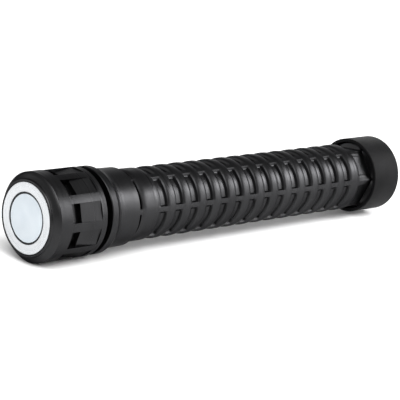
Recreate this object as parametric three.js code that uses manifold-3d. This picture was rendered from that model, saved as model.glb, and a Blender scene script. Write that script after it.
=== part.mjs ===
// A rechargeable duty flashlight, lying on its side: tail switch with a magnetic charging face at -X, lamp
// at +X. Millimetres, +Z up. The light's axis runs along X, high enough for the tail cap's rim to rest on
// the floor, and x = 0 is mid-length.
import * as THREE from "three";
import { mergeVertices } from "three/addons/utils/BufferGeometryUtils.js";
import Module from "manifold-3d";

const wasm = await Module();
wasm.setup();

// ---------- driving dimensions ----------
const TUBE_R = 18; // radius over the grip's lands; the rest of the light is in proportion to it
const LENGTH = 249.8;
const GAP = 0.3; // clearance between pieces that touch in the real light

const RIM_R = 1.21 * TUBE_R; // tail cap rim, the widest part
const REST_FACETS = 32; // of the two pieces the light lies on; one faces straight down, so it doesn't roll
const FACETS = 36; // of the other turned pieces that show
const LAMP_FACETS = 30; // of the lamp's turned pieces
const INNER_FACETS = 24; // of the hidden pieces
const REST_HEIGHT = RIM_R * Math.cos(Math.PI / REST_FACETS);

const CELL = { r: 13.1, length: 65.5, count: 3, poleR: 4.5, poleHeight: 1.2 };
const BORE_R = 13.6; // of the battery tube
const THREAD = { tailR: 15.6, headR: 15.2 }; // crests

const BUTTON = { face: 0.15, r: 11.6, thick: 2.05, neckR: 9.5, neckEnd: 9.4, plungerR: 1.6 };
const SLEEVE = { r: 11.85, wall: 0.3 }; // the thin black ring round the button
const CONTACT = { innerR: 12.35, outerR: 17.1, thick: 2.2 };
const POCKET = { count: 10, halfWidth: 4.6, start: 10.5, slotEnd: 16.9, end: 28.6 };
const POCKET_FLOOR = { slotR: 17.2, lowR: 19.6, highR: 20.9 };
const CAP_END = 32; // open end of the tail cap
const FLANGE = { start: 35.4, end: 39.2, r: 21.35 };
const COLLAR = { start: 46.5, end: 54.8, r: 19.45 };
const O_RING = { tail: 28.7, tailFloorR: 14.4, head: 232.5, headFloorR: 14.2, seatWidth: 2.2 };

// Each groove is six milled arcs. The ridges left between them line up along the tube, one of them turned
// ridgeAngle degrees from the top toward -Y; halfRidge and halfRamp are degrees too.
const GRIP = { firstWall: 74.3, pitch: 10.53, grooves: 14, grooveWidth: 4.5, floorR: 16.3 };
const ARCS = { count: 6, ridgeAngle: 23.5, halfRidge: 2.5, halfRamp: 9 };
const COLLAR_GROOVE = { start: 54.9, end: 56.7, floorR: 16.6 };
const NECK = { start: 218.9, end: 230.5, tip: 237, flatR: 15.5 }; // six flats, then the head's thread
const SHROUD = { start: 229.05, outerR: 20.45, innerR: 18.45, edge: 0.8 };

const LAMP = { shelf: 226.2, board: 229.3, focus: 232.6, rim: 245, rimR: 15.2 };
const LENS = { start: 245.6, thick: 2, r: 16.4 };

// ---------- looks ----------
const LOOKS = {
  anodised: { color: "#1d1d1f", roughness: 0.42, metalness: 0.85 },
  polymer: { color: "#2b2b2c", roughness: 0.75, metalness: 0 },
  rubber: { color: "#121314", roughness: 0.85, metalness: 0 },
  silver: { color: "#dfe3e6", roughness: 0.3, metalness: 0.9 },
  spring: { color: "#c9a45a", roughness: 0.3, metalness: 1 },
  steel: { color: "#b4b7ba", roughness: 0.35, metalness: 1 },
  brass: { color: "#b8934a", roughness: 0.35, metalness: 1 },
  board: { color: "#1f4a35", roughness: 0.6, metalness: 0 },
  whiteBoard: { color: "#e8e8e4", roughness: 0.5, metalness: 0 },
  cellWrap: { color: "#2f5f9e", roughness: 0.45, metalness: 0 },
  magnet: { color: "#8c8f93", roughness: 0.3, metalness: 1 },
  mirror: { color: "#e6e6e4", roughness: 0.08, metalness: 1 },
  glass: { color: "#f2f6f8", roughness: 0.03, metalness: 0 },
  phosphor: { color: "#e6c74a", roughness: 0.5, metalness: 0 },
};

// ---------- shaping ----------
// A piece turned about the light's axis. The profile's points are [station from the tail face, radius],
// running forward over the outside and back along the bore.
function turned(profile, facets = INNER_FACETS) {
  const points = profile.map(([s, r]) => new THREE.Vector2(r, s));
  const onAxis = profile[0][1] === 0 && profile.at(-1)[1] === 0;
  if (!onAxis) points.push(points[0].clone());
  return new THREE.LatheGeometry(points, facets, Math.PI / facets).rotateZ(-Math.PI / 2);
}

// A plain ring or washer.
function ring(from, to, innerR, outerR, facets = INNER_FACETS) {
  return turned([[from, innerR], [from, outerR], [to, outerR], [to, innerR]], facets);
}

// A plain disc or rod.
function disc(from, to, r, facets = INNER_FACETS) {
  return turned([[from, 0], [from, r], [to, r], [to, 0]], facets);
}

// A ring of round section, such as an O-ring.
function torus(station, meanR, sectionR, sides = 6, facets = INNER_FACETS) {
  const section = [];
  for (let i = 0; i < sides; i++) {
    const a = ((i + 0.5) / sides) * 2 * Math.PI;
    section.push([station - sectionR * Math.cos(a), meanR + sectionR * Math.sin(a)]);
  }
  return turned(section, facets);
}

// A curve between two profile points that starts steep and runs out flat; a higher power makes it steeper.
function sweep([s0, r0], [s1, r1], steps, power) {
  return Array.from({ length: steps + 1 }, (_, i) => {
    const t = i / steps;
    return [s0 + (s1 - s0) * t, r1 + (r0 - r1) * (1 - t) ** power];
  });
}

// A wire wound as a helix between two stations; its radius may change along the way.
function coil({ from, to, startR, endR, turns, wire, stepsPerTurn = 10 }) {
  const centres = [];
  const steps = Math.round(turns * stepsPerTurn);
  for (let i = 0; i <= steps; i++) {
    const t = i / steps;
    const r = startR + (endR - startR) * t;
    const a = 2 * Math.PI * turns * t;
    centres.push(new THREE.Vector3(from + (to - from) * t, r * Math.cos(a), r * Math.sin(a)));
  }
  const section = new THREE.Shape().absarc(0, 0, wire / 2, 0, 2 * Math.PI);
  return new THREE.ExtrudeGeometry(section, {
    steps,
    curveSegments: 3,
    extrudePath: new THREE.CatmullRomCurve3(centres),
  });
}

// ---------- joining and cutting ----------
function solidOf(geometry) {
  const bare = geometry.clone();
  bare.deleteAttribute("normal");
  bare.deleteAttribute("uv");
  const merged = mergeVertices(bare, 1e-4);
  return new wasm.Manifold(
    new wasm.Mesh({
      numProp: 3,
      vertProperties: merged.attributes.position.array,
      triVerts: new Uint32Array(merged.index.array),
    }),
  );
}

function geometryOf(solid) {
  const { vertProperties, triVerts } = solid.getMesh();
  return new THREE.BufferGeometry()
    .setAttribute("position", new THREE.BufferAttribute(vertProperties, 3))
    .setIndex(new THREE.BufferAttribute(triVerts, 1))
    .toNonIndexed();
}

function cut(geometry, cutters) {
  const tools = cutters.map(solidOf);
  return geometryOf(solidOf(geometry).subtract(wasm.Manifold.union(tools)));
}

function join(...geometries) {
  return geometryOf(wasm.Manifold.union(geometries.map(solidOf)));
}

// Corners of an outline round the light's axis, from [degrees past a ridge, radius] points of one side.
function roundOutline(side) {
  const points = [];
  for (let i = 0; i < ARCS.count; i++) {
    for (const [past, r] of side) {
      const a = THREE.MathUtils.degToRad(90 + ARCS.ridgeAngle + past + (360 * i) / ARCS.count);
      points.push(new THREE.Vector2(r * Math.cos(a), r * Math.sin(a)));
    }
  }
  return points;
}

// A groove's floor: each arc ramps down from a ridge, runs level and ramps up to the next one. The ridges
// reach past the tube's surface, so they stay uncut.
function arcFloor(floorR) {
  const { count, halfRidge, halfRamp } = ARCS;
  const side = 360 / count;
  const uncutR = TUBE_R + 0.2;
  return roundOutline([
    [halfRidge, uncutR],
    [halfRamp, floorR],
    [side / 2, floorR],
    [side - halfRamp, floorR],
    [side - halfRidge, uncutR],
  ]);
}

function hexagon(flatR) {
  return roundOutline([[0, flatR / Math.cos(Math.PI / ARCS.count)]]);
}

// Everything outside such an outline, between two stations of the tube.
function outside(from, to, points) {
  const shape = new THREE.Shape().absarc(0, 0, TUBE_R + 5, 0, 2 * Math.PI);
  shape.holes.push(new THREE.Path(points));
  return new THREE.ExtrudeGeometry(shape, { depth: to - from, bevelEnabled: false, curveSegments: 12 })
    .rotateX(Math.PI / 2)
    .rotateZ(Math.PI / 2)
    .translate(from, 0, 0);
}

// ---------- tail cap ----------
// One finger pocket: a deep slot against the rim, then a flat floor that rises to a low end wall.
function pocket(index) {
  const { halfWidth, start, slotEnd, end } = POCKET;
  const { slotR, lowR, highR } = POCKET_FLOOR;
  const floor = new THREE.Shape()
    .moveTo(start, slotR)
    .lineTo(slotEnd - 0.3, slotR)
    .lineTo(slotEnd, lowR)
    .lineTo(end, highR)
    .lineTo(end, RIM_R + 2)
    .lineTo(start, RIM_R + 2)
    .closePath();
  return new THREE.ExtrudeGeometry(floor, { depth: 2 * halfWidth, bevelEnabled: false })
    .translate(0, 0, -halfWidth)
    .rotateX(Math.PI / 2)
    .rotateX((2 * Math.PI * index) / POCKET.count);
}

function tailCap() {
  const blank = turned(
    [
      [0.1, 17.4],
      [0.1, 18.2],
      [0.5, 18.4],
      [1.1, 18.5],
      ...sweep([1.4, 18.9], [3.3, 21.5], 3, 0.8),
      [3.6, RIM_R],
      [10.3, RIM_R],
      [POCKET.start, RIM_R - 0.2],
      [POCKET.end + 0.2, RIM_R - 0.2],
      [CAP_END - 0.3, RIM_R - 0.2],
      [CAP_END, RIM_R - 0.5],
      [CAP_END, THREAD.tailR + GAP],
      [17, THREAD.tailR + GAP],
      [17, 14.3],
      [7.7, 14.3],
      [7.7, BUTTON.neckR + GAP],
      [3.6, BUTTON.neckR + GAP],
      [3.6, 12.2],
      [5.7, 12.2],
      [5.7, 17.1],
      [3.4, 17.1],
      [3.4, 17.4],
    ],
    REST_FACETS,
  );
  const pockets = Array.from({ length: POCKET.count }, (_, i) => pocket(i));
  return cut(blank, pockets);
}

// The thin black ring between button and contact ring, with the washer that insulates the contact ring.
function insulatorRing() {
  const { r, wall } = SLEEVE;
  return turned(
    [[0.3, r], [0.3, r + wall], [2.5, r + wall], [2.5, CONTACT.outerR], [3.1, CONTACT.outerR], [3.1, r]],
    FACETS,
  );
}

// A metal cup: the round face, a hollow neck through the cap's floor and a plunger in the middle.
function switchButton() {
  const { face, r, thick, neckR, neckEnd, plungerR } = BUTTON;
  const wall = 1;
  const inside = 4;
  return turned(
    [
      [face, 0],
      [face, r - 0.3],
      [face + 0.3, r],
      [face + thick, r],
      [face + thick, neckR],
      [neckEnd, neckR],
      [neckEnd, neckR - wall],
      [inside, neckR - wall],
      [inside, plungerR],
      [neckEnd - wall, plungerR],
      [neckEnd - wall, 0],
    ],
    LAMP_FACETS,
  );
}

// The click switch on its board: a square case with a round actuator.
function clickSwitch() {
  const caseBox = new THREE.BoxGeometry(1.5, 6.2, 6.2).translate(11.25, 0, 0);
  return join(caseBox, disc(9.95, 11, 1.75, 16));
}

// ---------- battery tube ----------
// The four profile points of an O-ring's seat cut into a thread's crests.
function oRingSeat(station, crestR, floorR) {
  const from = station - O_RING.seatWidth / 2;
  const to = from + O_RING.seatWidth;
  return [[from, crestR], [from, floorR], [to, floorR], [to, crestR]];
}

function bodyTube() {
  const { tailR, headR } = THREAD;
  const rear = 17.3;
  const lead = 0.5;
  const shoulder = CAP_END + 0.4;
  const shoulderR = 16.9;
  const blank = turned(
    [
      [rear, BORE_R],
      [rear, tailR - lead],
      [rear + lead, tailR],
      ...oRingSeat(O_RING.tail, tailR, O_RING.tailFloorR),
      [shoulder, tailR],
      [shoulder, shoulderR],
      [FLANGE.start, shoulderR],
      [FLANGE.start, FLANGE.r - 0.35],
      [FLANGE.start + 0.35, FLANGE.r],
      [FLANGE.end - 0.35, FLANGE.r],
      ...sweep([FLANGE.end, FLANGE.r - 0.35], [COLLAR.start, COLLAR.r], 5, 1.9),
      [COLLAR.end - 0.4, COLLAR.r - 0.15],
      [COLLAR.end, COLLAR.r - 0.55],
      [COLLAR.end, TUBE_R],
      [NECK.end, TUBE_R],
      [NECK.end, headR],
      ...oRingSeat(O_RING.head, headR, O_RING.headFloorR),
      [NECK.tip - lead, headR],
      [NECK.tip, headR - lead],
      [NECK.tip, BORE_R],
    ],
    FACETS,
  );
  const { firstWall, pitch, grooves, grooveWidth, floorR } = GRIP;
  const cuts = [
    outside(COLLAR_GROOVE.start, COLLAR_GROOVE.end, arcFloor(COLLAR_GROOVE.floorR)),
    outside(NECK.start, NECK.end, hexagon(NECK.flatR)),
  ];
  for (let i = 0; i < grooves; i++) {
    const wall = firstWall + i * pitch;
    cuts.push(outside(wall - grooveWidth, wall, arcFloor(floorR)));
  }
  return cut(blank, cuts);
}

function cellStart(index) {
  return 24 + index * (CELL.length + GAP);
}

// A round cell in its wrap, without the pole at its front end.
function cellCan(index) {
  const from = cellStart(index);
  const to = from + CELL.length - CELL.poleHeight - GAP;
  const { r, poleR } = CELL;
  return turned([
    [from, 0],
    [from, r - 0.6],
    [from + 0.6, r],
    [to - 0.6, r],
    [to, r - 0.6],
    [to, poleR + 1.5],
    [to - 0.6, poleR + 1.5],
    [to - 0.6, 0],
  ]);
}

function cellPole(index) {
  const top = cellStart(index) + CELL.length;
  const flange = top - 1.7;
  const { poleR } = CELL;
  return turned([[flange, 0], [flange, poleR + 1], [top - 1, poleR], [top, poleR], [top, 0]], 20);
}

// ---------- lamp ----------
// The bowl follows the parabola that has its focus at the emitter and passes through the rim.
function reflector() {
  const { focus, rim, rimR } = LAMP;
  const depth = rim - focus;
  const f = (Math.hypot(depth, rimR) - depth) / 2;
  const bowl = (s) => Math.sqrt(4 * f * (s - focus + f));
  const base = focus - 0.3;
  const wall = 0.9;
  const steps = 6;
  const start = base + 0.8;
  const neckR = 3.8;
  const stations = Array.from({ length: steps + 1 }, (_, i) => start + ((rim - start) * i) / steps);
  return turned(
    [
      [base, neckR],
      [base, bowl(start) + wall],
      ...stations.slice(1, -1).map((s) => [s, bowl(s) + wall]),
      [rim - 0.6, bowl(rim) + wall],
      [rim, bowl(rim) + wall],
      ...stations.reverse().map((s) => [s, bowl(s)]),
      [start, neckR],
    ],
    LAMP_FACETS,
  );
}

function headHousing() {
  return turned(
    [
      [NECK.end + 0.6, THREAD.headR + GAP],
      [NECK.end + 0.6, 17.6],
      [NECK.end + 1.2, 18.1],
      [249.2, 18.1],
      [249.2, 17.1],
      [LAMP.rim - 0.6, 17.1],
      [LAMP.rim - 0.6, 16.4],
      [238, 16.4],
      [238, THREAD.headR + GAP],
    ],
    LAMP_FACETS,
  );
}

function headShroud() {
  const { start, outerR, innerR, edge } = SHROUD;
  return turned(
    [
      [start, innerR + 0.3],
      [start, outerR - 0.3],
      [start + 0.3, outerR],
      [LENGTH - edge, outerR],
      [LENGTH - 0.3 * edge, outerR - 0.3 * edge],
      [LENGTH, outerR - edge],
      [LENGTH, innerR],
      [start + 0.3, innerR],
    ],
    REST_FACETS,
  );
}

// A ceramic square with the clear dome over its light-giving spot.
function emitter() {
  const base = new THREE.BoxGeometry(0.8, 3.5, 3.5).translate(231.4, 0, 0);
  const dome = turned([[231.6, 0], [231.6, 1.6], [232.1, 1.55], [232.7, 1.2], [233.1, 0.6], [233.2, 0]], 16);
  return join(base, dome);
}

// ---------- assembly ----------
const light = new THREE.Group();
light.position.set(-LENGTH / 2, 0, REST_HEIGHT);

function add(name, geometry, look) {
  const mesh = new THREE.Mesh(geometry, new THREE.MeshStandardMaterial(LOOKS[look]));
  mesh.name = name;
  light.add(mesh);
}

add("tail_cap", tailCap(), "anodised");
add("contact_ring", ring(0, CONTACT.thick, CONTACT.innerR, CONTACT.outerR, FACETS), "silver");
add("insulator_ring", insulatorRing(), "rubber");
add("charging_magnet", ring(3.5, 5.4, 12.6, 16.7), "magnet");
add("switch_button", switchButton(), "silver");
add("button_clip", ring(8, 8.7, BUTTON.neckR + GAP, 11.4), "steel");
add("return_spring", coil({ from: 9.9, to: 12, startR: 7.6, endR: 7.6, turns: 1.6, wire: 0.5 }), "spring");
add("click_switch", clickSwitch(), "polymer");
add("switch_board", disc(12.4, 13.9, 13.7), "board");
add("switch_retaining_ring", ring(14.2, 16.7, 10, 14), "brass");
add("battery_spring", coil({ from: 14.7, to: 23.2, startR: 8, endR: 4.5, turns: 4.5, wire: 0.9 }), "spring");
add("tail_o_ring", torus(O_RING.tail, THREAD.tailR - 0.4, 0.55), "rubber");

add("body_tube", bodyTube(), "anodised");
["rear", "middle", "front"].forEach((place, i) => {
  add(`cell_${place}`, cellCan(i), "cellWrap");
  add(`cell_pole_${place}`, cellPole(i), "steel");
});
const driverSpring = { from: 222.2, to: 223.7, startR: 3.2, endR: 3.8, turns: 1.5, wire: 0.6 };
add("driver_spring", coil(driverSpring), "spring");
add("driver_board", disc(224.3, 225.9, 13.3), "board");
add("lamp_shelf", disc(LAMP.shelf, LAMP.board - GAP, 13.3), "brass");
add("led_board", disc(LAMP.board, 230.7, 9), "whiteBoard");
add("led_emitter", emitter(), "phosphor");
add("centring_ring", ring(231, 232, 2.7, 5.5, 24), "polymer");
add("head_o_ring", torus(O_RING.head, THREAD.headR - 0.35, 0.45), "rubber");

add("reflector", reflector(), "mirror");
add("lens", disc(LENS.start, LENS.start + LENS.thick, LENS.r, LAMP_FACETS), "glass");
add("lens_o_ring", torus(LENS.start - 0.35, 16.6, 0.2), "rubber");
add("head_housing", headHousing(), "anodised");
add("bezel_ring", ring(247.9, 249.4, 14.4, 16.8, LAMP_FACETS), "anodised");
add("head_shroud", headShroud(), "polymer");

export default light;
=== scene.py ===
import math

import bmesh
import bpy
from mathutils import Matrix, Vector


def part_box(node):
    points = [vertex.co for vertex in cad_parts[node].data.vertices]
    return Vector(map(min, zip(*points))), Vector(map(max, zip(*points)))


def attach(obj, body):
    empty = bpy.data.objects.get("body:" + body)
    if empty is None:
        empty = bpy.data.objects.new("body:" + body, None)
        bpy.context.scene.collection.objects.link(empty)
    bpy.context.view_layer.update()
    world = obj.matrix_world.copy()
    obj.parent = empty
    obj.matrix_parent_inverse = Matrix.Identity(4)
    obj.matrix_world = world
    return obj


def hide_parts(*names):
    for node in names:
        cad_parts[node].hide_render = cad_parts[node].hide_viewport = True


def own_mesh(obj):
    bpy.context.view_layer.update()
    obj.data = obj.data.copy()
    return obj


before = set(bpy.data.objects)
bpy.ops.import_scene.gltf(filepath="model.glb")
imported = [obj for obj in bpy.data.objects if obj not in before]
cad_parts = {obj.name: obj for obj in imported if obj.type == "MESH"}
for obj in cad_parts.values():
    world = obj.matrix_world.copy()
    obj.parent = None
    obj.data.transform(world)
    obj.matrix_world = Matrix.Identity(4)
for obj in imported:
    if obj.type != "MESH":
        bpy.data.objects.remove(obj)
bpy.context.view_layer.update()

# ---------------------------------------------------------------------------
# Tail cap. Machined from aluminium bar: a chamfered rim, a turned band, ten milled finger pockets whose
# floors rise to the front, and a skirt that screws over the battery tube. Bead blasted, then anodised black.
# ---------------------------------------------------------------------------
MM = 0.001
tail_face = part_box("contact_ring")[0].x
axis_height = (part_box("tail_cap")[0].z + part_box("tail_cap")[1].z) / 2
axis_point = Vector((0, 0, axis_height))
rim_r = (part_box("tail_cap")[1].z - axis_height) / MM  # millimetres from the axis to a flat of the CAD rim
AROUND = 192  # steps in a full turn


def linear(hex_colour):
    """An sRGB hex colour as the linear RGBA that a node socket takes."""
    channels = [int(hex_colour[i : i + 2], 16) / 255 for i in (1, 3, 5)]
    return [c / 12.92 if c <= 0.04045 else ((c + 0.055) / 1.055) ** 2.4 for c in channels] + [1.0]


def add_node(tree, kind, inputs=None, **settings):
    """Adds a shader node. An input given a socket is linked to it, and any other value is set on it."""
    made = tree.nodes.new("ShaderNode" + kind)
    for setting, value in settings.items():
        setattr(made, setting, value)
    for socket, value in (inputs or {}).items():
        if isinstance(value, bpy.types.NodeSocket):
            tree.links.new(value, made.inputs[socket])
        else:
            made.inputs[socket].default_value = value
    return made


def new_finish(name, **constants):
    """A material with its constants set on the shader's own sockets, with its node tree and its shader."""
    made = bpy.data.materials.new(name)
    made.use_nodes = True
    shader = made.node_tree.nodes["Principled BSDF"]
    for socket, value in constants.items():
        shader.inputs[socket.replace("_", " ")].default_value = value
    return made, made.node_tree, shader


def turning_marks(tree, pitch, detail=2.0):
    """Fine rings left by a lathe tool, one every pitch millimetres along the axis and across an end face."""
    place = add_node(tree, "TexCoord").outputs["Object"]
    centred = add_node(tree, "VectorMath", {0: place, 1: axis_point}, operation="SUBTRACT").outputs[0]
    across = add_node(tree, "VectorMath", {0: centred, 1: (0, 1, 1)}, operation="MULTIPLY").outputs[0]
    radius = add_node(tree, "VectorMath", {0: across}, operation="LENGTH").outputs["Value"]
    along = add_node(tree, "SeparateXYZ", {0: centred}).outputs["X"]
    pass_place = add_node(tree, "Math", {0: along, 1: radius}, operation="ADD").outputs[0]
    return add_node(
        tree,
        "TexNoise",
        {"W": pass_place, "Scale": 1 / (pitch * MM), "Detail": detail},
        noise_dimensions="1D",
    ).outputs["Fac"]


def grain(tree, size, detail=2.0, roughness=0.5):
    """Noise whose lumps are about size millimetres across."""
    place = add_node(tree, "TexCoord").outputs["Object"]
    settings = {"Vector": place, "Scale": 1 / (size * MM), "Detail": detail, "Roughness": roughness}
    return add_node(tree, "TexNoise", settings).outputs["Fac"]


def between(tree, factor, low, high, low_at=0.3, high_at=0.7):
    """A number that runs from low to high as factor passes from low_at to high_at."""
    limits = {"Value": factor, "From Min": low_at, "From Max": high_at, "To Min": low, "To Max": high}
    return add_node(tree, "MapRange", limits).outputs["Result"]


def tint(tree, factor, dark, light):
    """A colour that runs between two sRGB hex values."""
    mixed = add_node(tree, "Mix", {"Factor": factor}, data_type="RGBA")
    mixed.inputs["A"].default_value = linear(dark)
    mixed.inputs["B"].default_value = linear(light)
    return mixed.outputs["Result"]


def raise_surface(tree, shader, height, depth, strength=1.0):
    """Bump of depth millimetres from a height between 0 and 1."""
    settings = {"Height": height, "Distance": depth * MM, "Strength": strength}
    bump = add_node(tree, "Bump", settings)
    tree.links.new(bump.outputs["Normal"], shader.inputs["Normal"])
    return bump


def anodised_aluminium():
    """Type III anodised aluminium, dyed black: an even, deep grey-black skin over bead-blasted metal. Tool
    rings still show through it as a soft brushing of the highlights. Real tool marks are near 0.1 mm apart;
    here they are ten times coarser, so that they show."""
    finish, tree, shader = new_finish(
        "black_anodised_aluminium", Metallic=1.0, Specular_Tint=linear("#aeaeae")
    )
    rings = turning_marks(tree, 1.1, 3.0)
    dye = grain(tree, 22, 3.0)
    tree.links.new(tint(tree, between(tree, dye, 0, 1), "#2c2c2d", "#373738"), shader.inputs["Base Color"])
    tree.links.new(between(tree, rings, 0.27, 0.42), shader.inputs["Roughness"])
    fine = raise_surface(tree, shader, grain(tree, 0.35, 1.0), 0.004)
    settings = {"Height": rings, "Distance": 0.02 * MM, "Normal": fine.outputs["Normal"]}
    coarse = add_node(tree, "Bump", settings)
    tree.links.new(coarse.outputs["Normal"], shader.inputs["Normal"])
    return finish


def turned(profile, rounding=0.0, steps=AROUND, segments=2):
    """A bmesh turned about the light's axis from (station, radius) points in millimetres. A station is a
    distance from the tail face. The profile closes on itself, or on the axis where both ends lie there.
    rounding breaks every corner that is off the axis."""
    form = bmesh.new()
    points = [form.verts.new((tail_face + s * MM, 0, axis_height + r * MM)) for s, r in profile]
    for a, b in zip(points, points[1:]):
        form.edges.new((a, b))
    if profile[0][1] > 0 or profile[-1][1] > 0:
        form.edges.new((points[-1], points[0]))
    if rounding:
        corners = [v for v, (s, r) in zip(points, profile) if r > 0]
        bmesh.ops.bevel(
            form,
            geom=corners,
            offset=rounding * MM,
            offset_type="OFFSET",
            segments=segments,
            profile=0.5,
            affect="VERTICES",
            clamp_overlap=True,
            material=-1,
        )
    bmesh.ops.spin(
        form,
        geom=form.verts[:] + form.edges[:],
        cent=axis_point,
        axis=(1, 0, 0),
        angle=2 * math.pi,
        steps=steps,
        use_merge=True,
    )
    bmesh.ops.remove_doubles(form, verts=form.verts[:], dist=1e-7)
    bmesh.ops.recalc_face_normals(form, faces=form.faces[:])
    return form


def place(form, name, body, slot, finish, stands_for=(), crease=32):
    """Makes a finished bmesh an object of the light that rides on a body and stands for CAD nodes."""
    mesh = bpy.data.meshes.new(name)
    form.to_mesh(mesh)
    form.free()
    mesh.polygons.foreach_set("use_smooth", [True] * len(mesh.polygons))
    mesh.set_sharp_from_angle(angle=math.radians(crease))
    made = bpy.data.objects.new(name, mesh)
    bpy.context.scene.collection.objects.link(made)
    mesh.materials.append(finish)
    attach(made, body)
    if stands_for:
        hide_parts(*stands_for)
    return made


def soften(piece, width, angle=30, segments=2):
    """A small machined edge break on every edge sharper than angle."""
    edges = piece.modifiers.new("edge_break", "BEVEL")
    edges.width = width * MM
    edges.segments = segments
    edges.limit_method = "ANGLE"
    edges.angle_limit = math.radians(angle)
    edges.use_clamp_overlap = True
    edges.harden_normals = True


def sink(form, opened, shift):
    """Sinks faces of a bmesh into it: shift(place) is how far a corner moves. Their edges grow walls."""
    sunk = bmesh.ops.extrude_face_region(form, geom=opened)
    bmesh.ops.delete(form, geom=opened, context="FACES")
    for vert in sunk["geom"]:
        if isinstance(vert, bmesh.types.BMVert):
            vert.co += shift(vert.co)


POCKETS = 10
POCKET_HALF_WIDTH = 4.6
POCKET_START = 10.5
SLOT_END = 16.9
POCKET_END = 28.6
SKIRT_END = 32.0
BAND_R = rim_r - 0.2


def pocket_floor(station):
    """Distance of a pocket's floor from the axis: a deep slot behind the rim, then a rising flat."""
    if station < SLOT_END - 0.3:
        return 17.2
    return 19.6 + (20.9 - 19.6) * (station - SLOT_END) / (POCKET_END - SLOT_END)


cap = turned(
    [
        (0.1, 17.4),
        (0.1, 18.2),
        (0.5, 18.42),
        (1.1, 18.5),
        (1.35, 18.75),
        (2.1, 20.1),
        (2.9, 21.15),
        (3.5, rim_r),
        (10.3, rim_r),
        (POCKET_START, BAND_R),
        (SLOT_END - 0.6, BAND_R),
        (SLOT_END, BAND_R),
        (POCKET_END, BAND_R),
        (SKIRT_END - 0.4, BAND_R),
        (SKIRT_END, BAND_R - 0.4),
        (SKIRT_END, 15.9),
        (17, 15.9),
        (17, 14.3),
        (7.7, 14.3),
        (7.7, 9.8),
        (3.6, 9.8),
        (3.6, 12.2),
        (5.7, 12.2),
        (5.7, 17.1),
        (3.4, 17.1),
        (3.4, 17.4),
    ]
)
# Opposite pockets share the two planes of their side walls.
for index in range(POCKETS // 2):
    turn = Matrix.Rotation(2 * math.pi * index / POCKETS, 3, "X")
    sideways = turn @ Vector((0, 1, 0))
    for sign in (-1, 1):
        bmesh.ops.bisect_plane(
            cap,
            geom=cap.verts[:] + cap.edges[:] + cap.faces[:],
            dist=1e-7,
            plane_co=axis_point + sideways * sign * POCKET_HALF_WIDTH * MM,
            plane_no=sideways,
        )
for index in range(POCKETS):
    turn = Matrix.Rotation(2 * math.pi * index / POCKETS, 3, "X")
    outward, sideways = turn @ Vector((0, 0, -1)), turn @ Vector((0, 1, 0))

    def in_pocket(face):
        centre = face.calc_center_median() - axis_point
        station = (centre.x - tail_face) / MM
        inside = POCKET_START < station < POCKET_END
        return inside and centre @ outward > 20 * MM and abs(centre @ sideways) < POCKET_HALF_WIDTH * MM

    def to_floor(place_on_cap):
        station = (place_on_cap.x - tail_face) / MM
        return outward * (pocket_floor(station) * MM - (place_on_cap - axis_point) @ outward)

    sink(cap, [f for f in cap.faces if in_pocket(f)], to_floor)
bmesh.ops.recalc_face_normals(cap, faces=cap.faces[:])
anodised = anodised_aluminium()
tail_cap = place(cap, "tail_cap_shell", "tail_cap", "tail_cap", anodised, ["tail_cap"])
soften(tail_cap, 0.22, angle=28)

# ---------------------------------------------------------------------------
# Contact ring. The outer pole of the magnetic charging face: turned steel, nickel plated and polished, with
# an edge break on both rims. The magnet that holds the charging lead lies under it.
# ---------------------------------------------------------------------------


def nickel_plate():
    """Bright nickel over turned steel: near-white metal, with very fine rings that blur what it reflects."""
    finish, tree, shader = new_finish("nickel_plated_steel", Metallic=1.0)
    rings = turning_marks(tree, 0.5, 2.0)
    tree.links.new(tint(tree, between(tree, rings, 0, 1), "#c6c9cc", "#d3d5d7"), shader.inputs["Base Color"])
    tree.links.new(between(tree, rings, 0.24, 0.34), shader.inputs["Roughness"])
    raise_surface(tree, shader, rings, 0.002)
    return finish


CONTACT_IN, CONTACT_OUT = 12.45, 17.0
nickel = nickel_plate()
ring = turned([(0, CONTACT_IN), (0, CONTACT_OUT), (2.2, CONTACT_OUT), (2.2, CONTACT_IN)], 0.12)
place(ring, "contact_ring_plate", "tail_cap", "contact_ring", nickel, ["contact_ring"])
magnet = turned([(3.5, 12.6), (3.5, 16.7), (5.4, 16.7), (5.4, 12.6)], 0.25, 96)
place(magnet, "charging_magnet_ring", "tail_cap", "charging_magnet", nickel, ["charging_magnet"])

# ---------------------------------------------------------------------------
# Insulator. A thin black acetal sleeve round the button, in one piece with the washer under the contact ring.
# It shows only as a fine dark line between two bright metals.
# ---------------------------------------------------------------------------


def moulded_acetal():
    """Black acetal: smooth, waxy and slightly blue in white light."""
    finish, tree, shader = new_finish("black_acetal", IOR=1.48, Metallic=0.0)
    cloud = grain(tree, 4, 2.0)
    tree.links.new(tint(tree, between(tree, cloud, 0, 1), "#070b0e", "#0d1317"), shader.inputs["Base Color"])
    tree.links.new(between(tree, cloud, 0.38, 0.5), shader.inputs["Roughness"])
    return finish


acetal = moulded_acetal()
sleeve = turned([(0.3, 11.85), (0.3, 12.15), (2.5, 12.15), (2.5, 17.1), (3.1, 17.1), (3.1, 11.85)])
place(sleeve, "insulator_sleeve", "tail_cap", "insulator_ring", acetal, ["insulator_ring"])

# ---------------------------------------------------------------------------
# Switch button. A turned aluminium cup, the inner charging pole: its round face is blasted with fine glass
# beads and clear anodised. A spring clip on its neck keeps it in the cap.
# ---------------------------------------------------------------------------


def blasted_aluminium():
    """Clear anodised aluminium over fine bead blasting: pale, faintly blue and softly matt."""
    finish, tree, shader = new_finish("bead_blasted_aluminium", Metallic=1.0)
    beads = grain(tree, 0.3, 2.0)
    cloud = grain(tree, 9, 1.0)
    tree.links.new(tint(tree, between(tree, cloud, 0, 1), "#c6ced4", "#cfd6db"), shader.inputs["Base Color"])
    tree.links.new(between(tree, beads, 0.34, 0.46), shader.inputs["Roughness"])
    raise_surface(tree, shader, beads, 0.003)
    return finish


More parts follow.
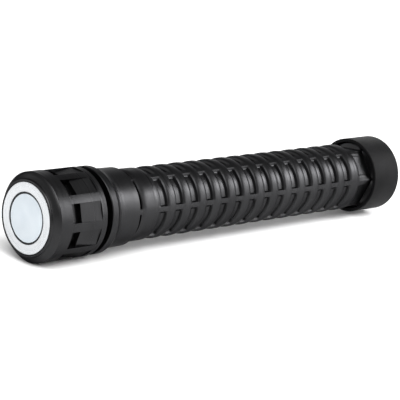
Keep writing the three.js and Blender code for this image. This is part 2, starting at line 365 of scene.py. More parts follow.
BUTTON_FACE = 0.15
blasted = blasted_aluminium()
button = turned(
    [
        (BUTTON_FACE, 0),
        (BUTTON_FACE, 11.5),
        (BUTTON_FACE + 2.05, 11.5),
        (BUTTON_FACE + 2.05, 9.5),
        (9.4, 9.5),
        (9.4, 8.5),
        (4, 8.5),
        (4, 1.6),
        (8.4, 1.6),
        (8.4, 0),
    ],
    0.15,
)
place(button, "switch_button_cup", "button", "switch_button", blasted, ["switch_button"])

# ---------------------------------------------------------------------------
# Battery tube. One long turned tube of aluminium bar: thread and O-ring seat inside the tail cap, a flange
# that runs into the grip through a hollow cone, and a grip whose lands are slightly crowned and whose grooves
# are six milled arcs each.
# ---------------------------------------------------------------------------
GRIP_R = 18.0
GROOVES = 14
FIRST_WALL = 74.3
GROOVE_PITCH = 10.53
GROOVE_WIDTH = 4.5
COLLAR_GROOVE = (54.9, 57.4)
GROOVE_FLOOR_R, COLLAR_GROOVE_FLOOR_R = 16.3, 16.2  # millimetres from the axis
NECK_FLAT_START, NECK_FLAT_END = 16.3, 15.0
SIDES = 6  # arcs in a groove, and flats on the neck
RIDGE_ANGLE = 23.5  # of one ridge between two arcs, in degrees from the top toward -Y
HALF_RIDGE, RAMP_FOOT, STEP_FOOT = 3.0, 8.5, 55.0  # degrees past the middle of a ridge
EDGE = 0.28
CROWN, CROWN_REACH = 0.35, 3.0  # millimetres that a land falls toward its edges, and over what length
CROWN_STEPS = 4
WALL_SLOPE = 0.45  # millimetres a groove's wall leans away from its floor
THREAD_PITCH = 2.0
THREAD_DEPTH = 0.55
TAIL_THREAD_R, HEAD_THREAD_R, BORE_R = 15.6, 15.2, 13.6
NECK_START, NECK_END, TUBE_END = 218.9, 230.5, 237.0


def past_ridge(around):
    """Degrees from the last ridge to an angle round the tube."""
    return (around - RIDGE_ANGLE) % (360 / SIDES)


def arc_floor(floor_r):
    """A groove's floor radius at an angle: six level arcs. Each starts with a long ramp, where the
    cutter sinks in, and ends with a steep step, where it lifts out."""

    def radius_at(around, share):
        past = past_ridge(around)
        ramp = (past - HALF_RIDGE) / (RAMP_FOOT - HALF_RIDGE)
        step = (360 / SIDES - HALF_RIDGE - past) / (360 / SIDES - HALF_RIDGE - STEP_FOOT)
        down = min(1.0, max(0.0, min(ramp, step)))
        return GRIP_R + (floor_r - GRIP_R) * down * down * (3 - 2 * down)

    return radius_at


def neck_flats(around, share):
    """Distance from the axis to the neck's six flats, deeper toward the head. share runs from 0 to 1."""
    flat = NECK_FLAT_START + (NECK_FLAT_END - NECK_FLAT_START) * share
    return flat / math.cos(math.radians(past_ridge(around) - 180 / SIDES))


def groove_list():
    """Start, end and floor of each cut along the tube."""
    cuts = [(*COLLAR_GROOVE, arc_floor(COLLAR_GROOVE_FLOOR_R))]
    for index in range(GROOVES):
        wall = FIRST_WALL + index * GROOVE_PITCH
        cuts.append((wall - GROOVE_WIDTH, wall, arc_floor(GROOVE_FLOOR_R)))
    cuts.append((NECK_START, NECK_END, neck_flats))
    return cuts


def mill(form, start, end, floor):
    """Presses the rings between two stations down to a floor. The rings at the ends stay full but for an edge
    break."""
    for vert in form.verts:
        offset = vert.co - axis_point
        station = (offset.x - tail_face) / MM
        radius = math.hypot(offset.y, offset.z) / MM
        if not start - 1e-3 < station < end + 1e-3 or radius < GRIP_R - CROWN - 0.01:
            continue
        around = math.degrees(math.atan2(-offset.y, offset.z))
        reach = min(radius, floor(around, (station - start) / (end - start)))
        if min(station - start, end - station) < 0.01:
            reach = max(reach, radius - EDGE)
        vert.co = Vector((vert.co.x, offset.y * reach / radius, axis_height + offset.z * reach / radius))


def thread_ridge(start, end, root, crest, steps_per_turn=64):
    """A helical screw ridge between two stations: a trapezoid spun about the axis while it moves along it."""
    form = bmesh.new()
    width = THREAD_PITCH
    section = [(0.2, root - 0.3), (0.3, root), (0.62, crest), (0.98, crest), (1.3, root), (1.4, root - 0.3)]
    points = [
        form.verts.new((tail_face + (start + s * width / 2) * MM, 0, axis_height + r * MM))
        for s, r in section
    ]
    form.faces.new(points)
    turns = (end - start - width) / THREAD_PITCH
    steps = round(steps_per_turn * turns)
    bmesh.ops.spin(
        form,
        geom=form.faces[:],
        cent=axis_point,
        axis=(1, 0, 0),
        dvec=((end - start - width) * MM / steps, 0, 0),
        angle=2 * math.pi * turns,
        steps=steps,
        use_merge=False,
    )
    bmesh.ops.recalc_face_normals(form, faces=form.faces[:])
    return form


grip_profile = [
    (17.3, BORE_R),
    (17.3, TAIL_THREAD_R - THREAD_DEPTH),
    (27.2, TAIL_THREAD_R - THREAD_DEPTH),
    (27.2, TAIL_THREAD_R),
    (27.6, TAIL_THREAD_R),
    (27.6, 14.4),
    (29.8, 14.4),
    (29.8, TAIL_THREAD_R),
    (32.4, TAIL_THREAD_R),
    (32.4, 16.9),
    (35.4, 16.9),
    (35.4, 21.0),
    (35.75, 21.35),
    (38.85, 21.35),
    (39.2, 21.0),
    (39.9, 20.55),
    (41.0, 20.05),
    (42.4, 19.72),
    (44.0, 19.54),
    (46.5, 19.45),
    (54.4, 19.3),
    (54.8, 18.9),
    (54.8, GRIP_R),
]
last_end = None
for start, end, floor in groove_list():
    if last_end:
        half = (start - last_end) / 2
        for step in range(-CROWN_STEPS, CROWN_STEPS + 1):
            rise = min(1.0, (1 - abs(step) / CROWN_STEPS) * half / CROWN_REACH)
            station = last_end + half * (1 + step / CROWN_STEPS)
            grip_profile.append((station, GRIP_R - CROWN * (1 - rise) ** 2))
    else:
        grip_profile.append((start, GRIP_R - CROWN))
    wall = min(WALL_SLOPE, 0.1 * (end - start))
    grip_profile += [(start + wall, GRIP_R - CROWN), (end - wall, GRIP_R - CROWN)]
    last_end = end
grip_profile.append((NECK_END, GRIP_R - CROWN))
grip_profile += [
    (NECK_END, HEAD_THREAD_R),
    (231.5, HEAD_THREAD_R),
    (231.5, 14.2),
    (233.5, 14.2),
    (233.5, HEAD_THREAD_R),
    (233.9, HEAD_THREAD_R),
    (233.9, HEAD_THREAD_R - THREAD_DEPTH),
    (TUBE_END, HEAD_THREAD_R - THREAD_DEPTH),
    (TUBE_END, BORE_R),
]
tube = turned(grip_profile, steps=360)
for start, end, floor in groove_list():
    mill(tube, start, end, floor)
bmesh.ops.remove_doubles(tube, verts=tube.verts[:], dist=2e-6)
bmesh.ops.recalc_face_normals(tube, faces=tube.faces[:])
place(tube, "battery_tube", "tube", "body_tube", anodised, ["body_tube"], crease=24)
tail_thread = thread_ridge(17.3, 27.2, TAIL_THREAD_R - THREAD_DEPTH, TAIL_THREAD_R)
place(tail_thread, "tail_thread", "tube", "body_tube", anodised)

# ---------------------------------------------------------------------------
# Head shroud. A moulded nylon sleeve pressed over the lamp housing: it guards the lens and stops the light
# rolling off. Its skin has the fine dull grain of an etched mould.
# ---------------------------------------------------------------------------


def moulded_nylon():
    """Glass-filled nylon, black: dull, slightly uneven, with an etched grain of about half a millimetre."""
    finish, tree, shader = new_finish(
        "black_glass_filled_nylon", IOR=1.2, Metallic=0.0, Specular_IOR_Level=0.25
    )
    etch = grain(tree, 0.45, 3.0, 0.6)
    cloud = grain(tree, 12, 2.0)
    tree.links.new(tint(tree, between(tree, cloud, 0, 1), "#0b0b0c", "#121213"), shader.inputs["Base Color"])
    tree.links.new(between(tree, etch, 0.5, 0.64), shader.inputs["Roughness"])
    raise_surface(tree, shader, etch, 0.015)
    return finish


shroud_low, shroud_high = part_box("head_shroud")
SHROUD_START = (shroud_low.x - tail_face) / MM
SHROUD_END = (shroud_high.x - tail_face) / MM
SHROUD_R = (shroud_high.z - axis_height) / MM
SHROUD_IN = 18.4
nylon = moulded_nylon()
shroud = turned(
    [
        (SHROUD_START, SHROUD_IN + 0.25),
        (SHROUD_START, SHROUD_R - 0.3),
        (SHROUD_START + 0.35, SHROUD_R),
        (SHROUD_END - 1.0, SHROUD_R),
        (SHROUD_END - 0.7, SHROUD_R - 0.06),
        (SHROUD_END - 0.35, SHROUD_R - 0.25),
        (SHROUD_END - 0.1, SHROUD_R - 0.55),
        (SHROUD_END, SHROUD_R - 0.95),
        (SHROUD_END, SHROUD_IN + 0.25),
        (SHROUD_END - 0.25, SHROUD_IN),
        (SHROUD_START + 0.25, SHROUD_IN),
    ]
)
place(shroud, "head_shroud_sleeve", "head", "head_shroud", nylon, ["head_shroud"])

# ---------------------------------------------------------------------------
# Head thread. A short screw ridge turned on the front end of the tube, which the lamp housing screws over. It
# is cut before the tube is anodised, so it has the same skin.
# ---------------------------------------------------------------------------
head_thread = thread_ridge(233.9, TUBE_END, HEAD_THREAD_R - THREAD_DEPTH, HEAD_THREAD_R)
place(head_thread, "head_thread", "tube", "body_tube", anodised)

# ---------------------------------------------------------------------------
# Button clip. A C-shaped retaining ring stamped from spring steel and tumbled, sprung over the neck of the
# switch button to keep it in the cap.
# ---------------------------------------------------------------------------


def plain_steel():
    """Tumbled spring steel: mid grey, with a fine uneven scuff that breaks up its shine."""
    finish, tree, shader = new_finish("plain_steel", Metallic=1.0)
    scuff = grain(tree, 0.8, 3.0, 0.6)
    tree.links.new(tint(tree, between(tree, scuff, 0, 1), "#8f9295", "#a6a9ab"), shader.inputs["Base Color"])
    tree.links.new(between(tree, scuff, 0.28, 0.42), shader.inputs["Roughness"])
    raise_surface(tree, shader, scuff, 0.003)
    return finish


def split_ring(start, end, inner, outer, opening):
    """A flat ring with an opening, in degrees, at the top."""
    form = bmesh.new()
    corners = [(start, inner), (start, outer), (end, outer), (end, inner)]
    points = [form.verts.new((tail_face + s * MM, 0, axis_height + r * MM)) for s, r in corners]
    form.faces.new(points)
    turn = Matrix.Rotation(math.radians(opening / 2), 3, "X")
    bmesh.ops.rotate(form, cent=axis_point, matrix=turn, verts=form.verts[:])
    bmesh.ops.spin(
        form,
        geom=form.faces[:],
        cent=axis_point,
        axis=(1, 0, 0),
        angle=math.radians(360 - opening),
        steps=90,
        use_merge=False,
    )
    bmesh.ops.recalc_face_normals(form, faces=form.faces[:])
    return form


steel = plain_steel()
clip_form = split_ring(8, 8.7, 9.8, 11.28, 38)
clip = place(clip_form, "button_clip_ring", "button", "steel", steel, ["button_clip"])
soften(clip, 0.08)

# ---------------------------------------------------------------------------
# Return spring. A short coil of gold-plated spring wire under the button, that pushes it back out. It rests
# on the switch board and is squeezed as the button goes in.
# ---------------------------------------------------------------------------


def gold_plate():
    """Thin gold over phosphor bronze wire: warm yellow metal, smooth, with faint drawing marks."""
    finish, tree, shader = new_finish("gold_plated_wire", Metallic=1.0)
    drawn = grain(tree, 0.5, 2.0)
    tree.links.new(tint(tree, between(tree, drawn, 0, 1), "#cfa85c", "#dfbd78"), shader.inputs["Base Color"])
    tree.links.new(between(tree, drawn, 0.2, 0.32), shader.inputs["Roughness"])
    return finish


def coil(start, end, first_r, last_r, turns, wire, flat=0.3, sides=12, steps=36):
    """Round wire wound between two stations. Part of a turn at each end lies flat, as on a closed spring."""
    form = bmesh.new()
    count = round(turns * steps)
    earlier = None
    for index in range(count + 1):
        turn = turns * index / count
        rise = min(1.0, max(0.0, (turn - flat) / (turns - 2 * flat)))
        station = start + wire / 2 + (end - start - wire) * rise
        radius = first_r + (last_r - first_r) * index / count
        outward = Vector((0, math.sin(2 * math.pi * turn), math.cos(2 * math.pi * turn)))
        centre = Vector((tail_face + station * MM, 0, axis_height)) + outward * radius * MM
        angles = [2 * math.pi * side / sides for side in range(sides)]
        loop = [
            form.verts.new(centre + (outward * math.cos(a) + Vector((math.sin(a), 0, 0))) * wire / 2 * MM)
            for a in angles
        ]
        if earlier:
            for side in range(sides):
                beside = (side + 1) % sides
                form.faces.new((earlier[side], earlier[beside], loop[beside], loop[side]))
        else:
            form.faces.new(loop)
        earlier = loop
    form.faces.new(earlier)
    bmesh.ops.recalc_face_normals(form, faces=form.faces[:])
    return form


gold = gold_plate()
SPRING_FRONT = 12.0
return_coil = coil(9.9, SPRING_FRONT, 7.2, 7.2, 1.6, 0.48, 0.2)
return_spring = place(
    return_coil, "return_spring_coil", "tail_cap", "spring", gold, ["return_spring"], crease=60
)
# The button's stroke takes 1.2 mm of the spring's 2.1 mm, and its front end stays on the board.
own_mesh(return_spring)

# ---------------------------------------------------------------------------
# Click switch. A bought-in push switch soldered on its board: moulded black base with four legs, a stamped
# steel cover with four rivet heads, and a round stem that the button's plunger meets.
# ---------------------------------------------------------------------------


def block(form, start, end, across, up, width, height):
    """Adds a box to a bmesh: between two stations, about a point across (+Y) and up from the axis."""
    centre = Vector((tail_face + (start + end) / 2 * MM, across * MM, axis_height + up * MM))
    size = Matrix.Diagonal(((end - start) * MM, width * MM, height * MM, 1.0))
    bmesh.ops.create_cube(form, size=1.0, matrix=Matrix.Translation(centre) @ size)
    return form


base = block(bmesh.new(), 10.75, 11.95, 0, 0, 5.9, 5.9)
switch_base = place(base, "click_switch_base", "tail_cap", "click_switch", nylon, ["click_switch"])
soften(switch_base, 0.15)
cover = block(bmesh.new(), 10.5, 10.72, 0, 0, 5.8, 5.8)
for across in (-2.2, 2.2):
    for up in (-2.2, 2.2):
        block(cover, 10.38, 10.52, across, up, 0.8, 0.8)
        block(cover, 11.6, 12.0, across, up * 1.37, 0.7, 0.16)
switch_cover = place(cover, "click_switch_cover", "tail_cap", "click_switch", steel)
soften(switch_cover, 0.06)
stem = turned([(9.95, 0), (9.95, 1.7), (10.6, 1.7), (10.6, 0)], 0.12, 48)
place(stem, "click_switch_stem", "tail_cap", "click_switch", acetal)

# ---------------------------------------------------------------------------
# Switch board. A round glass-fibre circuit board with green solder mask: gold pads for the battery spring and
# the earth ring, and small soldered parts inside the spring.
# ---------------------------------------------------------------------------


def solder_mask(name, dark, light):
    """Coloured solder mask over etched copper: smooth and glossy, with fine lighter tracks every 1.6 mm."""
    finish, tree, shader = new_finish(name, IOR=1.52, Metallic=0.0)
    place_at = add_node(tree, "TexCoord").outputs["Object"]
    parts = add_node(tree, "SeparateXYZ", {0: place_at}).outputs
    flat = add_node(tree, "CombineXYZ", {"X": parts["Y"], "Y": parts["Z"]}).outputs[0]
    scale = 1 / (3.2 * MM)
    settings = {"Vector": flat, "Scale": scale, "Mortar Size": 0.04, "Brick Width": 1.6, "Row Height": 0.5}
    tracks = add_node(tree, "TexBrick", settings).outputs["Fac"]
    tree.links.new(tint(tree, tracks, dark, light), shader.inputs["Base Color"])
    tree.links.new(between(tree, grain(tree, 2, 2.0), 0.22, 0.34), shader.inputs["Roughness"])
    raise_surface(tree, shader, tracks, 0.02)
    return finish


def small_parts(start, end, layout):
    """Soldered components on a board: boxes between two stations, as (across, up, width, height)."""
    form = bmesh.new()
    for across, up, width, height in layout:
        block(form, start, end, across, up, width, height)
    return form


green_mask = solder_mask("green_solder_mask", "#123d26", "#1d5636")
board = turned([(12.4, 0), (12.4, 13.5), (13.5, 13.5), (13.5, 0)], 0.08, 96)
place(board, "switch_board_disc", "tail_cap", "board", green_mask, ["switch_board"])
pads = turned([(13.5, 6.6), (13.5, 8.9), (13.58, 8.9), (13.58, 6.6)], 0, 96)
place(pads, "switch_board_spring_pad", "tail_cap", "board", gold)
earth = turned([(13.5, 10.2), (13.5, 13.3), (13.58, 13.3), (13.58, 10.2)], 0, 96)
place(earth, "switch_board_earth_pad", "tail_cap", "board", gold)
layout = [(0, 0, 3, 3), (3.6, 1.6, 0.8, 1.6), (3.6, -1.6, 0.8, 1.6), (-3.6, 0, 1.2, 2)]
chips = small_parts(13.5, 13.9, layout)
soften(place(chips, "switch_board_parts", "tail_cap", "board", acetal), 0.06)

# ---------------------------------------------------------------------------
# Switch retaining ring. Turned from brass bar, with two slots across its front face for a pin spanner. It
# screws into the cap, clamps the board and carries the return current.
# ---------------------------------------------------------------------------


def turned_brass():
    """Free-cutting brass, left as turned: yellow metal with tool rings about 0.3 mm apart."""
    finish, tree, shader = new_finish("turned_brass", Metallic=1.0)
    rings = turning_marks(tree, 0.3, 2.0)
    tree.links.new(tint(tree, between(tree, rings, 0, 1), "#b08c45", "#c6a45c"), shader.inputs["Base Color"])
    tree.links.new(between(tree, rings, 0.24, 0.38), shader.inputs["Roughness"])
    raise_surface(tree, shader, rings, 0.006)
    return finish


def cut_slots(form, station, depth, half_width):
    """Two spanner slots, left and right, across the front face that lies at a station."""
    for sign in (-1, 1):
        bmesh.ops.bisect_plane(
            form,
            geom=form.verts[:] + form.edges[:] + form.faces[:],
            dist=1e-7,
            plane_co=axis_point + Vector((0, 0, sign * half_width * MM)),
            plane_no=(0, 0, 1),
        )
    opened = [
        face
        for face in form.faces
        if all(abs((v.co.x - tail_face) / MM - station) < 0.01 for v in face.verts)
        and abs(face.calc_center_median().z - axis_height) < half_width * MM
    ]
    sink(form, opened, lambda corner: Vector((-depth * MM, 0, 0)))
    bmesh.ops.recalc_face_normals(form, faces=form.faces[:])
    return form


brass = turned_brass()
retainer = turned([(14.2, 10), (14.2, 13.8), (16.7, 13.8), (16.7, 10)], 0, 96)
cut_slots(retainer, 16.7, 1.2, 1.2)
retaining_ring = place(
    retainer, "switch_retaining_ring_brass", "tail_cap", "brass", brass, ["switch_retaining_ring"]
)
soften(retaining_ring, 0.15)

# ---------------------------------------------------------------------------
# Battery spring. A conical coil of thick gold-plated wire: its wide end sits on the switch board, and its
# narrow end presses on the rear cell.
# ---------------------------------------------------------------------------
battery_coil = coil(14.3, 23.55, 7.3, 4.5, 4.5, 0.9, 0.4)
place(battery_coil, "battery_spring_coil", "tail_contact", "spring", gold, ["battery_spring"], crease=60)

# ---------------------------------------------------------------------------
# Tail O-ring. Black nitrile rubber in the groove behind the tail thread, moulded in two halves and greased.
# It keeps water out of the tail cap joint.
# ---------------------------------------------------------------------------


def nitrile_rubber():
    """Black nitrile rubber with a film of grease: dark, with a soft uneven gloss."""
    finish, tree, shader = new_finish("nitrile_rubber", IOR=1.5, Metallic=0.0)
    film = grain(tree, 1.5, 2.0)
    tree.links.new(tint(tree, between(tree, film, 0, 1), "#0c0c0c", "#151514"), shader.inputs["Base Color"])
    tree.links.new(between(tree, film, 0.32, 0.52), shader.inputs["Roughness"])
    return finish


def o_ring(station, mean_r, section_r, sides=16):
    """A round-section ring about the light's axis."""
    angles = [2 * math.pi * side / sides for side in range(sides)]
    return turned(
        [(station + section_r * math.cos(a), mean_r + section_r * math.sin(a)) for a in angles], 0, 128
    )


rubber = nitrile_rubber()
place(o_ring(28.7, 15.13, 0.47), "tail_o_ring_seal", "tube", "o_ring", rubber, ["tail_o_ring"], crease=60)

# ---------------------------------------------------------------------------
# Cells. Three round lithium-ion cells in line. Each is a drawn steel can, crimped near its front end, in a
# blue shrink sleeve, with a paper washer round a pressed steel pole.
# ---------------------------------------------------------------------------


def shrink_sleeve():
    """Blue PVC shrink sleeve: a glossy film, drawn tight, with slight ripples a few millimetres long."""
    finish, tree, shader = new_finish("blue_shrink_sleeve", IOR=1.53, Metallic=0.0)
    ripple = grain(tree, 6, 2.0)
    tree.links.new(tint(tree, between(tree, ripple, 0, 1), "#1d4c8c", "#27599c"), shader.inputs["Base Color"])
    tree.links.new(between(tree, ripple, 0.18, 0.28), shader.inputs["Roughness"])
    raise_surface(tree, shader, ripple, 0.03)
    return finish


def fish_paper():
    """Grey-white insulating paper: matt, with short fibres."""
    finish, tree, shader = new_finish("insulating_paper", Roughness=0.85, Metallic=0.0)
    fibre = grain(tree, 0.5, 3.0, 0.7)
    tree.links.new(tint(tree, between(tree, fibre, 0, 1), "#bdb9ad", "#d0ccc1"), shader.inputs["Base Color"])
    raise_surface(tree, shader, fibre, 0.01)
    return finish


CELL_R = 12.97
FIRST_CELL, CELL_PITCH, CAN_LENGTH = 24, 65.8, 64
sleeve_film, paper = shrink_sleeve(), fish_paper()
for index, where in enumerate(("rear", "middle", "front")):
    start = FIRST_CELL + index * CELL_PITCH
    front = start + CAN_LENGTH
    sleeve = turned(
        [
            (start + 0.25, 10.9),
            (start, 11.1),
            (start, CELL_R - 0.9),
            (start + 0.25, CELL_R - 0.25),
            (start + 0.9, CELL_R),
            (front - 5.2, CELL_R),
            (front - 4.6, CELL_R - 0.55),
            (front - 3.9, CELL_R - 0.55),
            (front - 3.3, CELL_R),
            (front - 0.9, CELL_R),
            (front - 0.25, CELL_R - 0.25),
            (front, CELL_R - 0.9),
            (front, 10.2),
            (front - 0.2, 10.0),
            (front - 0.35, 10.2),
            (front - 0.5, 11.9),
            (start + 0.5, 11.9),
            (start + 0.4, 10.9),
        ],
        0,
        96,
    )
    place(sleeve, f"cell_{where}_sleeve", "tube", "cell", sleeve_film, [f"cell_{where}"])
    can = turned(
        [
            (start + 0.15, 0),
            (start + 0.15, 11.3),
            (start + 0.45, 11.7),
            (start + 1.6, 11.7),
            (start + 1.6, 0),
        ],
        0,
        96,
    )
    place(can, f"cell_{where}_can_end", "tube", "cell", nickel)
    rear_face, front_face = front - 0.3, front - 0.22
    washer = turned([(rear_face, 6.1), (rear_face, 11.8), (front_face, 11.8), (front_face, 6.1)], 0, 96)
    place(washer, f"cell_{where}_washer", "tube", "cell", paper)
    pole = turned(
        [
            (front - 0.2, 0),
            (front - 0.2, 5.4),
            (front + 0.25, 5.4),
            (front + 0.5, 4.6),
            (front + 1.5, 4.4),
            (front + 1.5, 0),
        ],
        0.12,
        72,
    )
    place(pole, f"cell_{where}_pole", "tube", "steel", nickel, [f"cell_pole_{where}"])

# ---------------------------------------------------------------------------
# Driver spring. A short stiff coil of gold-plated wire between the front cell's pole and the driver board.
# ---------------------------------------------------------------------------
driver_coil = coil(221.95, 223.9, 3.2, 3.45, 1.5, 0.56, 0.2)
place(driver_coil, "driver_spring_coil", "tube", "spring", gold, ["driver_spring"], crease=60)

# ---------------------------------------------------------------------------
# Driver board. A round glass-fibre board with green solder mask that feeds the lamp at constant current: gold
# pad for the spring, a choke, a control chip and small parts on its rear face.
# ---------------------------------------------------------------------------
driver = turned([(224.8, 0), (224.8, 13.1), (225.9, 13.1), (225.9, 0)], 0.08, 96)
place(driver, "driver_board_disc", "tube", "board", green_mask, ["driver_board"])
pad = turned([(224.72, 0), (224.72, 4.4), (224.8, 4.4), (224.8, 0)], 0, 64)
place(pad, "driver_board_pad", "tube", "board", gold)
layout = [(8, 0, 4.4, 4.4), (-8, 0, 4, 5), (0, 8, 1.6, 0.8)]
layout += [(3, 8.4, 1.6, 0.8), (-3, 8.4, 1.6, 0.8), (0, -8, 3, 1.5)]
soften(place(small_parts(224.3, 224.8, layout), "driver_board_parts", "tube", "board", acetal), 0.08)

# ---------------------------------------------------------------------------
# Lamp shelf. A thick turned brass disc, pressed into the tube: it carries the lamp's heat to the wall. A
# shallow groove on its rear face clears the driver's solder joints.
# ---------------------------------------------------------------------------
shelf_profile = [(226.2, 0), (226.2, 8.5), (226.7, 9), (226.7, 12), (226.2, 12.4), (226.2, 13.15)]
shelf = turned(shelf_profile + [(229, 13.15), (229, 0)], 0.15, 96)
place(shelf, "lamp_shelf_disc", "tube", "brass", brass, ["lamp_shelf"])

# ---------------------------------------------------------------------------
# LED board. A small round aluminium board under white solder mask, screwed down on thermal paste, with four
# gold solder pads near its edge.
# ---------------------------------------------------------------------------
white_mask = solder_mask("white_solder_mask", "#d2d2cd", "#dcdcd7")
star = turned([(229.3, 0), (229.3, 8.88), (230.6, 8.88), (230.6, 0)], 0.1, 96)
place(star, "led_board_disc", "tube", "led_board", white_mask, ["led_board"])
pad_layout = [(across, up, 1.8, 1.6) for across in (6.9, -6.9) for up in (1.6, -1.6)]
solder = small_parts(230.6, 230.7, pad_layout)
place(solder, "led_board_pads", "tube", "led_board", gold)

# ---------------------------------------------------------------------------
# LED emitter. A white ceramic base, a square of yellow phosphor, and a clear silicone dome moulded over it.
# ---------------------------------------------------------------------------


def ceramic():
    """Sintered alumina: matt white, with a very fine grain."""
    finish, tree, shader = new_finish("white_ceramic", IOR=1.6, Metallic=0.0)
    sinter = grain(tree, 0.2, 2.0)
    tree.links.new(tint(tree, between(tree, sinter, 0, 1), "#deded9", "#e8e8e4"), shader.inputs["Base Color"])
    tree.links.new(between(tree, sinter, 0.5, 0.65), shader.inputs["Roughness"])
    return finish


def phosphor():
    """Phosphor powder in silicone: strong yellow, matt and slightly mottled."""
    finish, tree, shader = new_finish("yellow_phosphor", IOR=1.41, Metallic=0.0)
    powder = grain(tree, 0.15, 3.0)
    tree.links.new(tint(tree, between(tree, powder, 0, 1), "#d6a322", "#e6b93a"), shader.inputs["Base Color"])
    tree.links.new(between(tree, powder, 0.55, 0.7), shader.inputs["Roughness"])
    return finish


def clear_material(name, ior, low, high):
    """A clear moulded or ground material: it lets all light through, with a very slight haze on its skin."""
    finish, tree, shader = new_finish(name, IOR=ior, Metallic=0.0, Transmission_Weight=1.0)
    haze = grain(tree, 3, 2.0)
    tree.links.new(between(tree, haze, low, high), shader.inputs["Roughness"])
    tree.links.new(tint(tree, between(tree, haze, 0, 1), "#f4f8fb", "#fafcfd"), shader.inputs["Base Color"])
    return finish


substrate = block(bmesh.new(), 231.0, 231.6, 0, 0, 3.45, 3.45)
ceramic_base = place(substrate, "led_ceramic_base", "tube", "led_emitter", ceramic(), ["led_emitter"])
soften(ceramic_base, 0.05)
phosphor_form = block(bmesh.new(), 231.6, 231.75, 0, 0, 2.1, 2.1)
soften(place(phosphor_form, "led_phosphor", "tube", "led_emitter", phosphor()), 0.03)
DOME_BACK, DOME_R = 231.61, 1.58
quarter = [math.radians(angle) for angle in range(0, 90, 9)]
arc = [(DOME_BACK + DOME_R * math.sin(angle), DOME_R * math.cos(angle)) for angle in quarter]
dome = turned([(DOME_BACK, 0)] + arc + [(DOME_BACK + DOME_R, 0)], 0, 64)
silicone = clear_material("clear_silicone", 1.41, 0.02, 0.05)
place(dome, "led_dome", "tube", "led_emitter", silicone, crease=40)

# ---------------------------------------------------------------------------
# Centring ring. A small washer moulded in white polycarbonate that centres the reflector on the LED and keeps
# its metal off the solder pads.
# ---------------------------------------------------------------------------


def white_plastic():
    """White polycarbonate: smooth, slightly warm and faintly cloudy."""
    finish, tree, shader = new_finish("white_polycarbonate", IOR=1.58, Metallic=0.0)
    cloud = grain(tree, 3, 2.0)
    tree.links.new(tint(tree, between(tree, cloud, 0, 1), "#d4d3cd", "#deddd8"), shader.inputs["Base Color"])
    tree.links.new(between(tree, cloud, 0.4, 0.52), shader.inputs["Roughness"])
    return finish


centring = turned([(231.0, 2.75), (231.0, 5.4), (232.0, 5.4), (232.0, 3.3), (231.6, 2.75)], 0.1, 72)
place(centring, "centring_ring_washer", "tube", "centring_ring", white_plastic(), ["centring_ring"])

# ---------------------------------------------------------------------------
# Head O-ring. Black nitrile rubber in the groove in front of the neck: it keeps water out of the head joint.
# ---------------------------------------------------------------------------
place(o_ring(232.5, 14.78, 0.38), "head_o_ring_seal", "tube", "o_ring", rubber, ["head_o_ring"], crease=60)

# ---------------------------------------------------------------------------
# Reflector. A deep parabola about the LED, pressed from aluminium, lacquered and metallised in vacuum to a
# mirror. Its rim is flat, to seat under the lens.
# ---------------------------------------------------------------------------


def mirror_coat():
    """Vacuum-deposited aluminium under clear lacquer: nearly a perfect mirror, with slight orange peel."""
    finish, tree, shader = new_finish("metallised_mirror", Metallic=1.0)
    peel = grain(tree, 0.9, 1.0)
    tree.links.new(tint(tree, between(tree, peel, 0, 1), "#e4e4e2", "#ececea"), shader.inputs["Base Color"])
    tree.links.new(between(tree, peel, 0.05, 0.1), shader.inputs["Roughness"])
    raise_surface(tree, shader, peel, 0.003)
    return finish


FOCUS, MIRROR_BACK, MIRROR_RIM, MIRROR_RIM_R, MIRROR_WALL = 232.6, 233.1, 245.0, 15.08, 0.88
focal = (math.hypot(MIRROR_RIM - FOCUS, MIRROR_RIM_R) - (MIRROR_RIM - FOCUS)) / 2
stations = [MIRROR_BACK + (MIRROR_RIM - MIRROR_BACK) * step / 24 for step in range(25)]
bowl = [(s, math.sqrt(4 * focal * (s - FOCUS + focal))) for s in stations]
outside = [(s, r + MIRROR_WALL) for s, r in bowl[1:]]
back = [(232.3, 3.8), (232.3, bowl[0][1] + MIRROR_WALL)]
mirror = turned(back + outside + bowl[::-1] + [(MIRROR_BACK, 3.8)], 0, 128)
place(mirror, "reflector_bowl", "optics", "reflector", mirror_coat(), ["reflector"])

# ---------------------------------------------------------------------------
# Lens. A ground disc of toughened glass, 2 mm thick, coated against reflections, with a fine chamfer on both
# rims.
# ---------------------------------------------------------------------------
glass = clear_material("coated_lens_glass", 1.52, 0.005, 0.02)
pane = turned([(245.6, 0), (245.6, 16.28), (247.6, 16.28), (247.6, 0)], 0.2, 128)
place(pane, "lens_disc", "optics", "lens", glass, ["lens"])

# ---------------------------------------------------------------------------
# Lens O-ring. A very thin nitrile ring between the reflector's rim and the lens, moulded like the others.
# ---------------------------------------------------------------------------
lens_seal = o_ring(245.25, 16.49, 0.165, 12)
place(lens_seal, "lens_o_ring_seal", "optics", "o_ring", rubber, ["lens_o_ring"], crease=60)

# ---------------------------------------------------------------------------
# Head housing. Turned aluminium, anodised black: it screws over the front of the tube, holds reflector and
# lens, and is thin enough for the shroud to slide over.
# ---------------------------------------------------------------------------
housing = turned(
    [
        (231.1, 15.5),
        (231.1, 17.6),
        (231.6, 17.98),
        (249.2, 17.98),
        (249.2, 17.1),
        (244.4, 17.1),
        (244.4, 16.4),
        (238, 16.4),
        (238, 15.5),
    ],
    0.12,
    128,
)
place(housing, "head_housing_shell", "head", "head_housing", anodised, ["head_housing"])

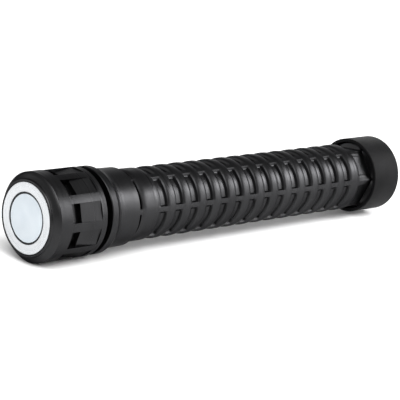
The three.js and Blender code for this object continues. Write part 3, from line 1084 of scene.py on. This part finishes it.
# ---------------------------------------------------------------------------
# Bezel ring. A turned and anodised aluminium ring that screws into the housing and clamps the lens. Two slots
# across its front face take a spanner.
# ---------------------------------------------------------------------------
bezel_form = turned([(247.9, 14.4), (247.9, 16.68), (249.4, 16.68), (249.4, 15.2), (248.6, 14.4)], 0, 128)
cut_slots(bezel_form, 249.4, 0.6, 1.2)
bezel = place(bezel_form, "bezel_ring_slotted", "head", "bezel_ring", anodised, ["bezel_ring"])
soften(bezel, 0.1)

# ---------------------------------------------------------------------------
# Studio: a pale matt floor, a broad soft light over the tail, and four soft boxes. Those beyond the head draw
# the long highlight on the grip, and the one behind the tail brightens its face.
# ---------------------------------------------------------------------------


def pale_paper():
    """White seamless paper: matt and even."""
    finish, tree, shader = new_finish("white_paper", Roughness=0.9, Metallic=0.0)
    fibre = grain(tree, 60, 2.0)
    tree.links.new(tint(tree, between(tree, fibre, 0, 1), "#f8f8f8", "#fbfbfb"), shader.inputs["Base Color"])
    return finish


floor_form = bmesh.new()
bmesh.ops.create_grid(floor_form, x_segments=1, y_segments=1, size=6.0)
floor_mesh = bpy.data.meshes.new("floor")
floor_form.to_mesh(floor_mesh)
floor_form.free()
floor_mesh.transform(Matrix.Translation((0, 0, -0.0002)))
floor_mesh.materials.append(pale_paper())
floor = bpy.data.objects.new("floor", floor_mesh)
bpy.context.scene.collection.objects.link(floor)


def soft_box(name, position, target, width, height, watts, colour="#ffffff"):
    """A rectangular studio light that faces a point of the light."""
    lamp = bpy.data.lights.new(name, "AREA")
    lamp.shape = "RECTANGLE"
    lamp.size, lamp.size_y = width, height
    lamp.energy = watts
    lamp.color = linear(colour)[:3]
    made = bpy.data.objects.new(name, lamp)
    made.location = position
    made.rotation_euler = (Vector(target) - Vector(position)).to_track_quat("-Z", "Y").to_euler()
    bpy.context.scene.collection.objects.link(made)
    return made


soft_box("front_fill", (-0.8, -0.9, 1.5), (-0.05, 0, 0), 1.5, 1.5, 44)
soft_box("side_box", (0.66, -0.56, 0.36), (0, 0, axis_height), 0.9, 0.62, 7.2)
soft_box("head_box", (0.60, -0.35, 0.38), (0.06, 0.0, axis_height), 0.3, 0.26, 3.2)
soft_box("back_box", (0.8, 0.7, 0.42), (0, 0, axis_height), 0.9, 0.6, 3.4)
soft_box("tail_wall", (-1.1, 1.0, 0.4), (tail_face, 0, axis_height), 1.6, 0.8, 4.0)

world = bpy.data.worlds.new("studio")
world.use_nodes = True
world.node_tree.nodes["Background"].inputs["Color"].default_value = linear("#ffffff")
world.node_tree.nodes["Background"].inputs["Strength"].default_value = 0.35
bpy.context.scene.world = world
bpy.context.scene.view_settings.view_transform = "Standard"

# The camera looks at the tail from the side and a little above, with a long lens, and is banked so that the
# light's axis climbs gently from left to right.
LENS = 156.5
CAMERA_PLACE = Vector((tail_face - 0.505476, -0.591714, axis_height + 0.224424))
CAMERA_RIGHT = Vector((0.70826, -0.69554, 0.12077))
CAMERA_UP = Vector((0.09766, 0.26596, 0.95903))
camera = bpy.data.objects.new("camera", bpy.data.cameras.new("camera"))
camera.data.lens = LENS
camera.data.sensor_width = 36
camera.data.clip_start = 0.01
camera.matrix_world = (
    Matrix.Translation(CAMERA_PLACE)
    @ Matrix((CAMERA_RIGHT, CAMERA_UP, CAMERA_RIGHT.cross(CAMERA_UP))).transposed().to_4x4()
)
bpy.context.scene.collection.objects.link(camera)
bpy.context.scene.camera = camera
